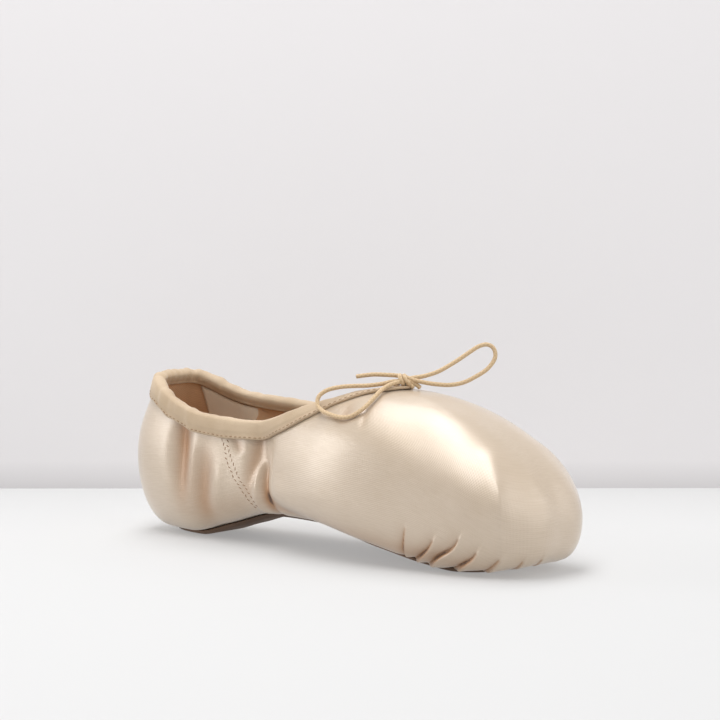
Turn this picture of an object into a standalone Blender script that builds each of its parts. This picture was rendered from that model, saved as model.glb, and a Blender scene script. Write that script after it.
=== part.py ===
"""Pointe shoe: satin upper over a stiff box, outsole, insole, collar casing and the bow of its drawstring.

X runs from the heel to the toe, Y to one side and Z up. The origin is on the floor under the middle.
The last is straight, so the left half is the right half mirrored.
"""

import bmesh
import bpy
import numpy as np

# Driving sizes of the last, in metres
LENGTH = 0.236
BALL_WIDTH = 0.080
WAIST_WIDTH = 0.058
HEEL_WIDTH = 0.054
PLATFORM_WIDTH = 0.050
INSTEP_HEIGHT = 0.074
QUARTER_HEIGHT = 0.060
HEEL_HEIGHT = 0.072
ARCH_RISE = 0.013
TOE_LIFT = 0.0045

# Walls, layers and clearances
UPPER_WALL = 0.0018
OUTSOLE_THICKNESS = 0.0022
INSOLE_THICKNESS = 0.0018
CASING_WALL = 0.0009
CASING_ROLL = 0.0016
CASING_OUTER_DROP = 0.0074
CASING_INNER_DROP = 0.0040
LABEL_START = 0.016
LABEL_LENGTH = 0.028
LABEL_HEIGHT = 0.018
LABEL_THICKNESS = 0.0005
CLEARANCE = 0.0003
LOOSE_CLEARANCE = 0.0006

# The drawstring and its knot
CORD_DIAMETER = 0.0019
KNOT_LENGTH = 0.0072
KNOT_WIDTH = 0.0056
KNOT_HEIGHT = 0.0040
KNOT_TURN = 40.0
CORD_STEP = 2.2 * CORD_DIAMETER

# Grid of the upper: columns round the shoe, and rows of each stretch of its profile
COLUMNS = 88
SEAT_ROWS = 2
LOWER_ROWS = 4
UPPER_ROWS = 11
LABEL_STEPS = 5

BALL = BALL_WIDTH / 2
WAIST = WAIST_WIDTH / 2
HEEL = HEEL_WIDTH / 2
PLATFORM = PLATFORM_WIDTH / 2

# Half of the last, from the back of the heel to the middle of the toe. Each row is one profile of the upper.
# along, out, girth: where the profile stands out most. tuck: how far in from there it reaches the underside.
# hole: the edge of the opening underneath. collar: the rim. belly, rise, crown, drop: how full the curves are.
# sole, insole: how far each reaches from that opening's edge towards the tuck. casing: share of its full width.
LAST_COLUMNS = (
    "along", "out", "girth", "tuck", "hole_along", "hole_out",
    "collar_along", "collar_out", "collar_up", "belly", "rise", "crown", "drop", "sole", "insole", "casing",
)
LAST = {
    "heel back": (
        0.000 * LENGTH, 0.00 * HEEL, 0.50 * HEEL_HEIGHT, 0.58 * HEEL, 0.095 * LENGTH, 0.00 * HEEL,
        0.050 * LENGTH, 0.00 * HEEL, 1.00 * HEEL_HEIGHT, 0.55, 0.42, 0.50, 0.42, 0.70, 0.85, 1.00,
    ),
    "heel corner": (
        0.030 * LENGTH, 0.72 * HEEL, 0.49 * HEEL_HEIGHT, 0.60 * HEEL, 0.102 * LENGTH, 0.14 * HEEL,
        0.064 * LENGTH, 0.53 * HEEL, 0.985 * HEEL_HEIGHT, 0.55, 0.42, 0.50, 0.42, 0.70, 0.85, 1.00,
    ),
    "heel side": (
        0.110 * LENGTH, 1.00 * HEEL, 0.46 * HEEL_HEIGHT, 0.54 * HEEL, 0.140 * LENGTH, 0.26 * HEEL,
        0.125 * LENGTH, 0.83 * HEEL, 0.890 * HEEL_HEIGHT, 0.55, 0.42, 0.50, 0.42, 0.70, 0.85, 1.00,
    ),
    "quarter": (
        0.250 * LENGTH, 1.00 * WAIST, 0.50 * QUARTER_HEIGHT, 0.46 * WAIST, 0.250 * LENGTH, 0.28 * WAIST,
        0.250 * LENGTH, 0.88 * WAIST, 0.985 * QUARTER_HEIGHT, 0.55, 0.40, 0.50, 0.40, 0.75, 0.85, 1.00,
    ),
    "waist": (
        0.370 * LENGTH, 1.00 * WAIST, 0.50 * QUARTER_HEIGHT, 0.42 * WAIST, 0.370 * LENGTH, 0.30 * WAIST,
        0.375 * LENGTH, 0.83 * WAIST, 0.985 * QUARTER_HEIGHT, 0.55, 0.40, 0.50, 0.40, 0.75, 0.85, 0.95,
    ),
    "wing": (
        0.480 * LENGTH, 0.88 * BALL, 0.42 * INSTEP_HEIGHT, 0.34 * BALL, 0.485 * LENGTH, 0.34 * BALL,
        0.480 * LENGTH, 0.58 * BALL, 0.87 * INSTEP_HEIGHT, 0.55, 0.45, 0.60, 0.30, 0.75, 0.85, 0.60,
    ),
    "ball": (
        0.640 * LENGTH, 1.00 * BALL, 0.40 * INSTEP_HEIGHT, 0.30 * BALL, 0.640 * LENGTH, 0.50 * BALL,
        0.578 * LENGTH, 0.34 * BALL, 0.97 * INSTEP_HEIGHT, 0.60, 0.48, 0.70, 0.12, 0.80, 0.90, 0.42,
    ),
    "toe side": (
        0.820 * LENGTH, 0.88 * BALL, 0.35 * INSTEP_HEIGHT, 0.26 * BALL, 0.790 * LENGTH, 0.42 * BALL,
        0.618 * LENGTH, 0.18 * BALL, 0.995 * INSTEP_HEIGHT, 0.60, 0.44, 0.66, 0.06, 0.62, 0.72, 0.40,
    ),
    "toe corner": (
        0.955 * LENGTH, 1.02 * PLATFORM, 0.31 * INSTEP_HEIGHT, 0.42 * PLATFORM, 0.828 * LENGTH, 0.30 * PLATFORM,
        0.630 * LENGTH, 0.07 * BALL, 1.00 * INSTEP_HEIGHT, 0.60, 0.44, 0.58, 0.04, 0.44, 0.58, 0.40,
    ),
    "toe front": (
        0.996 * LENGTH, 0.55 * PLATFORM, 0.30 * INSTEP_HEIGHT, 0.46 * PLATFORM, 0.838 * LENGTH, 0.12 * PLATFORM,
        0.634 * LENGTH, 0.03 * BALL, 1.00 * INSTEP_HEIGHT, 0.60, 0.44, 0.54, 0.04, 0.38, 0.55, 0.40,
    ),
    "toe centre": (
        1.000 * LENGTH, 0.00 * PLATFORM, 0.30 * INSTEP_HEIGHT, 0.46 * PLATFORM, 0.840 * LENGTH, 0.00 * PLATFORM,
        0.635 * LENGTH, 0.00 * BALL, 1.00 * INSTEP_HEIGHT, 0.60, 0.44, 0.54, 0.04, 0.36, 0.55, 0.40,
    ),
}
SIDEWAYS = ("out", "hole_out", "collar_out")

# Height of the outsole's tread over the floor, flat at the heel and again under the ball. Columns: along, height
TREAD = (
    (-0.05 * LENGTH, 0.30 * TOE_LIFT),
    (0.06 * LENGTH, 0.00 * ARCH_RISE),
    (0.16 * LENGTH, 0.00 * ARCH_RISE),
    (0.25 * LENGTH, 0.40 * ARCH_RISE),
    (0.38 * LENGTH, 0.98 * ARCH_RISE),
    (0.50 * LENGTH, 1.00 * ARCH_RISE),
    (0.66 * LENGTH, 0.55 * ARCH_RISE),
    (0.76 * LENGTH, 0.16 * ARCH_RISE),
    (0.82 * LENGTH, 0.00 * ARCH_RISE),
    (0.89 * LENGTH, 0.00 * ARCH_RISE),
    (1.00 * LENGTH, 1.00 * TOE_LIFT),
)

# The main hollows of the soft quarters. Columns: along, lean forward as it goes down, half-width, depth,
# and the heights over the underside between which it fades in and out
FOLDS = {
    "heel hollow": (0.155 * LENGTH, 0.00, 0.030 * LENGTH, 0.080 * HEEL, 0.12 * HEEL_HEIGHT, 0.78 * HEEL_HEIGHT),
    "seat hollow": (0.245 * LENGTH, 0.10, 0.026 * LENGTH, 0.055 * WAIST, 0.02 * HEEL_HEIGHT, 0.58 * HEEL_HEIGHT),
    "waist pinch": (0.372 * LENGTH, 0.15, 0.028 * LENGTH, 0.130 * WAIST, 0.03 * HEEL_HEIGHT, 0.67 * HEEL_HEIGHT),
}

# Routes of the bow, in metres from the middle of the throat's rim. Both loops start and end at the knot.
RIGHT_LOOP = (
    (0.0025, 0.0033, 0.0046),
    (0.0062, 0.0066, 0.0054),
    (0.0105, 0.0112, 0.0074),
    (0.0152, 0.0168, 0.0114),
    (0.0196, 0.0220, 0.0156),
    (0.0228, 0.0254, 0.0176),
    (0.0250, 0.0274, 0.0172),
    (0.0262, 0.0276, 0.0142),
    (0.0256, 0.0254, 0.0096),
    (0.0232, 0.0216, 0.0052),
    (0.0196, 0.0172, 0.0026),
    (0.0156, 0.0128, 0.0016),
    (0.0112, 0.0082, 0.0020),
    (0.0072, 0.0044, 0.0029),
    (0.0038, 0.0017, 0.0033),
)
LEFT_LOOP = (
    (-0.0029, -0.0029, 0.0032),
    (-0.0064, -0.0074, 0.0022),
    (-0.0110, -0.0116, 0.0015),
    (-0.0155, -0.0150, 0.0013),
    (-0.0205, -0.0186, 0.0008),
    (-0.0250, -0.0222, -0.0006),
    (-0.0274, -0.0250, -0.0032),
    (-0.0266, -0.0270, -0.0068),
    (-0.0225, -0.0284, -0.0090),
    (-0.0165, -0.0299, -0.0101),
    (-0.0105, -0.0308, -0.0107),
    (-0.0052, -0.0305, -0.0101),
    (-0.0016, -0.0278, -0.0075),
    (-0.0003, -0.0233, -0.0044),
    (-0.0006, -0.0179, -0.0013),
    (-0.0016, -0.0128, 0.0006),
    (-0.0012, -0.0082, 0.0022),
    (0.0004, -0.0038, 0.0032),
)
LEFT_END = (
    (-0.0032, -0.0016, 0.0054),
    (-0.0074, -0.0042, 0.0059),
    (-0.0112, -0.0070, 0.0060),
    (-0.0150, -0.0098, 0.0058),
    (-0.0188, -0.0126, 0.0054),
)


def steady_curve(table, at):
    """Smooth curve through a table's rows that never swings past them, read at each place in at."""
    places, values = np.array(table).T
    step = np.diff(places)
    slope = np.diff(values) / step
    before, after = slope[:-1], slope[1:]
    same_way = before * after > 0
    near, far = 2 * step[1:] + step[:-1], step[1:] + 2 * step[:-1]
    mixed = (near + far) / (near / np.where(same_way, before, 1) + far / np.where(same_way, after, 1))
    tangent = np.concatenate([[0], np.where(same_way, mixed, 0), [slope[-1]]])
    row = np.clip(np.searchsorted(places, at, side="right") - 1, 0, len(step) - 1)
    u = (at - places[row]) / step[row]
    return (
        values[row] * (1 + 2 * u) * (1 - u) ** 2
        + values[row + 1] * (3 - 2 * u) * u**2
        + step[row] * (tangent[row] * u * (1 - u) ** 2 + tangent[row + 1] * (u - 1) * u**2)
    )


def closed_curve(knots, values, around, at):
    """Cubic curve with no kinks through a ring of rows, read at each place in at."""
    count = len(knots)
    step = np.diff(np.append(knots, knots[0] + around))
    following = np.roll(values, -1, axis=0)
    slope = (following - values) / step[:, None]
    system = np.diag(2 * (step + np.roll(step, 1)))
    for i in range(count):
        system[i, (i + 1) % count] += step[i]
        system[i, i - 1] += step[i - 1]
    bend = np.linalg.solve(system, 6 * (slope - np.roll(slope, 1, axis=0)))
    row = np.clip(np.searchsorted(knots, at, side="right") - 1, 0, count - 1)
    end = (row + 1) % count
    u = ((at - knots[row]) / step[row])[:, None]
    v = 1 - u
    arch = (v**3 - v) * bend[row] + (u**3 - u) * bend[end]
    return v * values[row] + u * values[end] + arch * step[row][:, None] ** 2 / 6


def arc_through(start, leave, reach, end, shares):
    """Cubic Bezier from start to end, bent towards leave and reach, with one row of points for each share."""
    u = np.asarray(shares)[:, None, None]
    v = 1 - u
    return v**3 * start + 3 * v**2 * u * leave + 3 * v * u**2 * reach + u**3 * end


def tread_height(along):
    """Height of the outsole's lower face over the floor, along metres from the back of the heel."""
    return steady_curve(TREAD, along)


def underside(along):
    """Height of the upper's own underside, which lies on the outsole."""
    return tread_height(along) + OUTSOLE_THICKNESS + CLEARANCE


def last_profiles(count):
    """The columns of LAST at count even steps round the shoe, as arrays by name."""
    half = np.array(list(LAST.values()))
    other = half[-2:0:-1].copy()
    for name in SIDEWAYS:
        other[:, LAST_COLUMNS.index(name)] *= -1
    ring = np.concatenate([half, other])
    step = np.roll(ring, -1, axis=0) - ring
    girth_columns = [LAST_COLUMNS.index(name) for name in ("along", "out")]
    collar_columns = [LAST_COLUMNS.index(name) for name in ("collar_along", "collar_out")]
    girth_run, collar_run = (np.linalg.norm(step[:, plan], axis=1) for plan in (girth_columns, collar_columns))
    lengths = (girth_run + collar_run) / 2
    knots = np.concatenate([[0], np.cumsum(lengths)[:-1]])
    around = lengths.sum()
    fine = np.linspace(0, around, 40 * count + 1)
    outline = closed_curve(knots, ring, around, fine)[:, girth_columns]
    run = np.concatenate([[0], np.cumsum(np.linalg.norm(np.diff(outline, axis=0), axis=1))])
    even = np.interp(np.linspace(0, run[-1], count, endpoint=False), run, fine)
    return dict(zip(LAST_COLUMNS, closed_curve(knots, ring, around, even).T))


def inward_of(outline):
    """Unit vectors in plan that point into the shoe, one for each point of its outline."""
    ahead = np.roll(outline, -1, axis=0) - np.roll(outline, 1, axis=0)
    ahead /= np.linalg.norm(ahead, axis=1)[:, None]
    return np.stack([ahead[:, 1], -ahead[:, 0]], axis=1)


def at_height(plan, height):
    """Plan points given a height each."""
    return np.column_stack([plan, np.broadcast_to(height, len(plan))])


def plan_lines(last):
    """The outline, the tread line and the edge of the opening underneath, in plan."""
    outline = np.stack([last["along"], last["out"]], axis=1)
    tread = outline + inward_of(outline) * last["tuck"][:, None]
    hole = np.stack([last["hole_along"], last["hole_out"]], axis=1)
    return outline, tread, hole


def normals_of(grid):
    """Outward unit normals of a grid of points whose second axis runs round the shoe."""
    along_rows = np.gradient(grid, axis=0)
    along_columns = np.roll(grid, -1, axis=1) - np.roll(grid, 1, axis=1)
    normal = np.cross(along_rows, along_columns)
    return normal / np.linalg.norm(normal, axis=2)[:, :, None]


def folded(grid):
    """The grid with the hollows of FOLDS pressed into both of its sides."""
    height = grid[:, :, 2] - underside(grid[:, :, 0])
    depth = np.zeros(height.shape)
    for along, lean, spread, deep, bottom, top in FOLDS.values():
        off = (grid[:, :, 0] - along - lean * (top - height)) / spread
        fade = np.clip((height - bottom) / (top - bottom), 0, 1)
        depth += deep * np.exp(-off**2) * np.sin(np.pi * fade) ** 2
    return grid - normals_of(grid) * depth[:, :, None]


def upper_surface(count, seat_rows, lower_rows, upper_rows):
    """Outer face of the upper, row by row from the opening underneath up to the collar."""
    last = last_profiles(count)
    outline, tread, hole = plan_lines(last)
    shares = np.linspace(0, 1, seat_rows + 1)[:-1, None, None]
    seat = hole + (tread - hole) * shares
    seat = np.stack([at_height(row, underside(row[:, 0])) for row in seat])
    foot = at_height(tread, underside(tread[:, 0]))
    girth = at_height(outline, last["girth"])
    collar = np.stack([last["collar_along"], last["collar_out"], last["collar_up"]], axis=1)
    outward = at_height(tread - outline, 0)
    sink = last["girth"] - foot[:, 2]
    climb = last["collar_up"] - last["girth"]
    up = np.array([0.0, 0.0, 1.0])
    lower = arc_through(
        foot,
        foot - outward * last["belly"][:, None],
        girth - up * (sink * last["belly"])[:, None],
        girth,
        np.linspace(0, 1, lower_rows + 1),
    )
    lean = at_height(outline - collar[:, :2], 0)
    upper = arc_through(
        girth,
        girth + up * (climb * last["rise"])[:, None],
        collar + lean * last["crown"][:, None] - up * (climb * last["drop"])[:, None],
        collar,
        np.linspace(0, 1, upper_rows + 1),
    )
    return folded(np.concatenate([seat, lower, upper[1:]]))


def to_origin(points):
    """Points moved from the back of the heel to the middle of the shoe."""
    return points - np.array([LENGTH / 2, 0.0, 0.0])


def srgb(code):
    """Linear colour of a six-digit sRGB hex code."""
    share = np.array([int(code[i : i + 2], 16) for i in (0, 2, 4)]) / 255
    return (*np.where(share > 0.04045, ((share + 0.055) / 1.055) ** 2.4, share / 12.92), 1.0)


def principled(name, code, roughness, sheen=0.0):
    """A plain material of one colour."""
    material = bpy.data.materials.new(name)
    material.use_nodes = True
    shader = material.node_tree.nodes["Principled BSDF"]
    shader.inputs["Base Color"].default_value = srgb(code)
    shader.inputs["Roughness"].default_value = roughness
    shader.inputs["Metallic"].default_value = 0.0
    shader.inputs["Sheen Weight"].default_value = sheen
    return material


def new_object(name, points, faces, material, collection):
    """A mesh object of its own, shaded smooth but for its sharp edges."""
    mesh = bpy.data.meshes.new(name)
    mesh.from_pydata(np.asarray(points).tolist(), [], faces)
    mesh.materials.append(material)
    shape = bmesh.new()
    shape.from_mesh(mesh)
    bmesh.ops.remove_doubles(shape, verts=shape.verts, dist=1e-6)
    bmesh.ops.recalc_face_normals(shape, faces=shape.faces)
    shape.to_mesh(mesh)
    shape.free()
    mesh.shade_smooth()
    mesh.set_sharp_from_angle(angle=0.9)
    made = bpy.data.objects.new(name, mesh)
    collection.objects.link(made)
    return made


def ring_faces(rows, columns, closed_section=False):
    """Four-cornered faces between neighbouring rows of a grid that closes on itself round its columns."""
    faces = []
    for row in range(rows if closed_section else rows - 1):
        here, above = row * columns, (row + 1) % rows * columns
        for column in range(columns):
            beside = (column + 1) % columns
            faces.append((here + column, here + beside, above + beside, above + column))
    return faces


def solidify(made, thickness, offset):
    """Gives an open surface a wall, to its inner side at an offset of -1 and to both sides at 0."""
    wall = made.modifiers.new("Wall", "SOLIDIFY")
    wall.thickness = thickness
    wall.offset = offset
    wall.use_rim = True
    wall.use_even_offset = True


def build_upper(collection):
    """Satin over canvas and the stiff box: one wall, open at the collar and underneath."""
    grid = upper_surface(COLUMNS, SEAT_ROWS, LOWER_ROWS, UPPER_ROWS)
    rows = len(grid)
    satin = principled("satin", "D6C3B2", 0.38, 0.3)
    upper = new_object("upper", to_origin(grid.reshape(-1, 3)), ring_faces(rows, COLUMNS), satin, collection)
    solidify(upper, UPPER_WALL, -1)


def sole_slab(share_column, lower_height, upper_height):
    """Points and faces of a layer that follows the underside between two heights.

    Four rails run from heel to toe, joined in the order low right, low left, high left and high right.
    """
    last = last_profiles(COLUMNS)
    _, tread, hole = plan_lines(last)
    outline = hole + (tread - hole) * last[share_column][:, None]
    along, side = outline[: COLUMNS // 2 + 1].T
    low, high = lower_height(along), upper_height(along)
    corners = (1, low), (-1, low), (-1, high), (1, high)
    rails = np.stack([np.stack([along, turn * side, height], axis=1) for turn, height in corners])
    count = len(along)
    faces = []
    for rail in range(4):
        here, beside = rail * count, (rail + 1) % 4 * count
        faces += [(here + i, here + i + 1, beside + i + 1, beside + i) for i in range(count - 1)]
    return to_origin(rails.reshape(-1, 3)), faces


def clean_slab(made):
    """Drops the faces that fold to nothing at the two ends, where a rung is a single point."""
    shape = bmesh.new()
    shape.from_mesh(made.data)
    bmesh.ops.dissolve_degenerate(shape, dist=1e-7, edges=shape.edges)
    bmesh.ops.recalc_face_normals(shape, faces=shape.faces)
    shape.to_mesh(made.data)
    shape.free()


def build_outsole(collection):
    """Narrow leather sole, glued and stitched under the shoe, flat at the heel and under the ball."""
    points, faces = sole_slab("sole", tread_height, lambda along: tread_height(along) + OUTSOLE_THICKNESS)
    leather = principled("sole_leather", "8C6F57", 0.62)
    clean_slab(new_object("outsole", points, faces, leather, collection))


def build_insole(collection):
    """Board and sock that lie inside on the turned-in edge of the upper."""
    floor = UPPER_WALL + LOOSE_CLEARANCE
    points, faces = sole_slab(
        "insole",
        lambda along: underside(along) + floor,
        lambda along: underside(along) + floor + INSOLE_THICKNESS,
    )
    canvas = principled("insole_canvas", "C9A98A", 0.85)
    clean_slab(new_object("insole", points, faces, canvas, collection))


def wall_point(grid, drop):
    """Points of the upper's outer face at a drop below its rim, one a column, and their outward normals."""
    normals = normals_of(grid)
    run = np.linalg.norm(np.diff(grid, axis=0), axis=2)
    below_rim = np.concatenate([np.cumsum(run[::-1], axis=0)[::-1], np.zeros((1, grid.shape[1]))])
    drop = np.broadcast_to(drop, grid.shape[1])
    place = np.empty(grid.shape[1:])
    facing = np.empty(grid.shape[1:])
    for column in range(grid.shape[1]):
        depths = below_rim[::-1, column]
        for axis in range(3):
            place[column, axis] = np.interp(drop[column], depths, grid[::-1, column, axis])
            facing[column, axis] = np.interp(drop[column], depths, normals[::-1, column, axis])
    return place, facing / np.linalg.norm(facing, axis=1)[:, None]


def casing_section(grid, width):
    """Rows of the collar casing: up its outer face, over the roll, down inside, and back under itself.

    The strip narrows to the share in width, one for each column, on its way to the throat.
    """
    rim, outward = wall_point(grid, 0.0)
    lower, _ = wall_point(grid, CASING_OUTER_DROP / 3)
    upward = (rim - lower) / np.linalg.norm(rim - lower, axis=1)[:, None]
    middle = rim - outward * UPPER_WALL / 2
    half_wall = UPPER_WALL / 2 + LOOSE_CLEARANCE
    soft = (CASING_ROLL * (0.2 + 0.8 * width))[:, None]
    roll = half_wall + soft
    rise = LOOSE_CLEARANCE + soft
    rows = []
    for share, thick in ((1.0, CASING_WALL), (0.60, 1.2 * CASING_WALL), (0.25, 0.9 * soft)):
        place, facing = wall_point(grid, share * CASING_OUTER_DROP * width)
        rows.append(place + facing * (LOOSE_CLEARANCE + thick))
    for angle in np.radians((20, 65, 115, 160)):
        rows.append(middle + outward * roll * np.cos(angle) + upward * rise * np.sin(angle))
    for share, thick in ((0.30, 0.9 * soft), (1.0, CASING_WALL)):
        place, facing = wall_point(grid, share * CASING_INNER_DROP * width)
        rows.append(place - facing * (UPPER_WALL + LOOSE_CLEARANCE + thick))
    for share in (1.0, 0.4):
        place, facing = wall_point(grid, share * CASING_INNER_DROP * width)
        rows.append(place - facing * (UPPER_WALL + LOOSE_CLEARANCE))
    rows.append(middle - outward * half_wall + upward * LOOSE_CLEARANCE)
    rows.append(middle + outward * half_wall + upward * LOOSE_CLEARANCE)
    for share in (0.4, 1.0):
        place, facing = wall_point(grid, share * CASING_OUTER_DROP * width)
        rows.append(place + facing * LOOSE_CLEARANCE)
    return np.stack(rows)


def build_casing(collection):
    """Folded satin strip round the collar that holds the drawstring, stitched along its lower edge."""
    grid = upper_surface(COLUMNS, SEAT_ROWS, LOWER_ROWS, UPPER_ROWS)
    rows = casing_section(grid, last_profiles(COLUMNS)["casing"])
    faces = ring_faces(len(rows), COLUMNS, closed_section=True)
    satin = principled("casing_satin", "D9C4AD", 0.55, 0.3)
    new_object("collar_casing", to_origin(rows.reshape(-1, 3)), faces, satin, collection)


def build_label(collection):
    """Bare cloth patch sewn to the lining of one quarter, just under the casing."""
    grid = upper_surface(COLUMNS, SEAT_ROWS, LOWER_ROWS, UPPER_ROWS)
    along = LABEL_START + np.linspace(0, LABEL_LENGTH, LABEL_STEPS)
    top = CASING_INNER_DROP + LOOSE_CLEARANCE
    rows = []
    for drop in top + np.linspace(0, LABEL_HEIGHT, LABEL_STEPS):
        place, facing = wall_point(grid, drop)
        lining = place - facing * (UPPER_WALL + LOOSE_CLEARANCE + LABEL_THICKNESS / 2)
        far_side = lining[1 : COLUMNS // 2]
        side, height = (np.interp(along, far_side[:, 0], far_side[:, axis]) for axis in (1, 2))
        rows.append(np.stack([along, side, height], axis=1))
    corners = np.arange(LABEL_STEPS**2).reshape(LABEL_STEPS, LABEL_STEPS)
    faces = np.stack([corners[:-1, :-1], corners[:-1, 1:], corners[1:, 1:], corners[1:, :-1]], axis=2)
    cotton = principled("label_cotton", "D8C6AE", 0.9)
    points = to_origin(np.concatenate(rows))
    patch = new_object("inner_label", points, faces.reshape(-1, 4).tolist(), cotton, collection)
    solidify(patch, LABEL_THICKNESS, 0)


def throat():
    """The middle of the throat's rim, where the drawstring comes out of its casing."""
    centre = dict(zip(LAST_COLUMNS, LAST["toe centre"]))
    return np.array([centre["collar_along"] - LENGTH / 2, 0.0, centre["collar_up"]])


def smooth_route(route, spacing):
    """Evenly spaced points on the Catmull-Rom curve through a route's points."""
    ends = np.concatenate([[2 * route[0] - route[1]], route, [2 * route[-1] - route[-2]]])
    u = np.linspace(0, 1, 20, endpoint=False)[:, None]
    curve = []
    for before, start, end, after in zip(ends[:-3], ends[1:-2], ends[2:-1], ends[3:]):
        curve.append(
            start
            + u * (end - before) / 2
            + u**2 * (before - 2.5 * start + 2 * end - after / 2)
            + u**3 * (1.5 * (start - end) + (after - before) / 2)
        )
    curve = np.concatenate([*curve, route[-1:]])
    run = np.concatenate([[0], np.cumsum(np.linalg.norm(np.diff(curve, axis=0), axis=1))])
    count = max(3, round(run[-1] / spacing) + 1)
    even = np.linspace(0, run[-1], count)
    return np.stack([np.interp(even, run, curve[:, axis]) for axis in range(3)], axis=1)


def build_cord(name, route, material, collection):
    """One free stretch of the drawstring, round and cut square at its ends."""
    points = smooth_route(np.array(route) + throat(), CORD_STEP)
    curve = bpy.data.curves.new(name, "CURVE")
    curve.dimensions = "3D"
    curve.bevel_depth = CORD_DIAMETER / 2
    curve.bevel_resolution = 2
    curve.use_fill_caps = True
    spline = curve.splines.new("POLY")
    spline.points.add(len(points) - 1)
    for point, place in zip(spline.points, points):
        point.co = (*place, 1.0)
    curve.materials.append(material)
    collection.objects.link(bpy.data.objects.new(name, curve))


def build_knot(material, collection):
    """The bow's knot, pulled down on the casing at the throat."""
    soft = CASING_ROLL * (0.2 + 0.8 * LAST["toe centre"][LAST_COLUMNS.index("casing")])
    height = LOOSE_CLEARANCE + soft + CLEARANCE + KNOT_HEIGHT / 2
    bpy.ops.mesh.primitive_uv_sphere_add(segments=14, ring_count=8, radius=0.5)
    knot = bpy.context.object
    knot.name = "drawstring_knot"
    knot.data.name = "drawstring_knot"
    knot.data.materials.append(material)
    knot.data.shade_smooth()
    knot.scale = (KNOT_LENGTH, KNOT_WIDTH, KNOT_HEIGHT)
    knot.rotation_euler = (0.0, 0.0, np.radians(KNOT_TURN))
    knot.location = throat() + np.array([0.0, 0.0, height])
    for home in list(knot.users_collection):
        home.objects.unlink(knot)
    collection.objects.link(knot)


def build_drawstring(collection):
    """The waxed cotton drawstring outside its casing: a knot, two loops and the end that shows."""
    cotton = principled("drawstring_cotton", "E0C7A2", 0.75)
    build_knot(cotton, collection)
    build_cord("drawstring_right_loop", RIGHT_LOOP, cotton, collection)
    build_cord("drawstring_left_loop", LEFT_LOOP, cotton, collection)
    build_cord("drawstring_left_end", LEFT_END, cotton, collection)


def main():
    for old in list(bpy.data.objects):
        bpy.data.objects.remove(old, do_unlink=True)
    shoe = bpy.data.collections.new("pointe_shoe")
    bpy.context.scene.collection.children.link(shoe)
    build_upper(shoe)
    build_outsole(shoe)
    build_insole(shoe)
    build_casing(shoe)
    build_label(shoe)
    build_drawstring(shoe)


main()
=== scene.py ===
"""Dressed model of a pale satin pointe shoe, on the frame of its solids.

X runs from the heel to the toe, +Z is up, and the shoe stands on the floor at Z = 0.
"""

import bpy
import numpy as np
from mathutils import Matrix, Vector


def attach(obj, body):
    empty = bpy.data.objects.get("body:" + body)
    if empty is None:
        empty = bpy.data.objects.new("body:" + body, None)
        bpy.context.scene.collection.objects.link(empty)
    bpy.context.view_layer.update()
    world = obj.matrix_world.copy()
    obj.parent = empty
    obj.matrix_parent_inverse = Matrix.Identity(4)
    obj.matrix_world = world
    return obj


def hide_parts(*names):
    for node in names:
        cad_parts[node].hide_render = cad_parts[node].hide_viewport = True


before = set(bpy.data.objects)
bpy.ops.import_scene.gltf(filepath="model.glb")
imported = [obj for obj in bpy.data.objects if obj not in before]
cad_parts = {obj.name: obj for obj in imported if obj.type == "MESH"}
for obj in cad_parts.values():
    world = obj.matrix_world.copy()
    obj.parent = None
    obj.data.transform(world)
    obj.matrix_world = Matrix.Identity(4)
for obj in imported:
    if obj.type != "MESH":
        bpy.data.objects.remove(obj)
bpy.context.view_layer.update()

# The view: a long lens a little above the toe's height, looking at the near side from the front.
# The floor is a white acrylic table lit from below, the wall behind it is pale grey, and soft boxes light the rest.
VIEW_AZIMUTH = np.radians(40.0)
VIEW_ELEVATION = np.radians(7.5)
VIEW_DISTANCE = 1.3
VIEW_LENS = 146.0
SENSOR = 36.0
IMAGE_SIDE = 720
LOOKED_AT = np.array([0.0, 0.0, 0.035])
LOOKED_AT_PIXEL = (348, 471)
WALL_BEHIND = 0.198
WALL_HEIGHT = 0.27
WALL_SHADE_HEIGHT = 0.014
ROOM_REACH = 3.0


def to_linear(code):
    """Linear RGBA of a six-digit sRGB hex code."""
    share = np.array([int(code[i : i + 2], 16) for i in (0, 2, 4)]) / 255
    return (*np.where(share > 0.04045, ((share + 0.055) / 1.055) ** 2.4, share / 12.92), 1.0)


def add_node(tree, kind, inputs=None, **settings):
    """Adds a node of a kind with its settings. Each input gets a value or the socket that feeds it."""
    node = tree.nodes.new("ShaderNode" + kind)
    for name, value in settings.items():
        setattr(node, name, value)
    for name, given in (inputs or {}).items():
        if isinstance(given, bpy.types.NodeSocket):
            tree.links.new(given, node.inputs[name])
        else:
            node.inputs[name].default_value = given
    return node


def in_range(tree, value, start, end, low=0.0, high=1.0):
    """A value's share of the way from start to end, kept inside it and turned into a number from low to high."""
    limits = {"From Min": start, "From Max": end, "To Min": low, "To Max": high}
    return add_node(tree, "MapRange", {"Value": value, **limits}).outputs["Result"]


def between(tree, share, first, second):
    """A colour some share of the way from first, a hex code or a socket, to second, a hex code."""
    first = to_linear(first) if isinstance(first, str) else first
    inputs = {"Factor": share, "A": first, "B": to_linear(second)}
    return add_node(tree, "Mix", inputs, data_type="RGBA").outputs["Result"]


def new_material(name, **sockets):
    """A material with a Principled shader, its sockets set by name, and the shader itself."""
    made = bpy.data.materials.new(name)
    made.use_nodes = True
    shader = made.node_tree.nodes["Principled BSDF"]
    for socket, value in sockets.items():
        shader.inputs[socket.replace("_", " ")].default_value = value
    return made, shader


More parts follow.
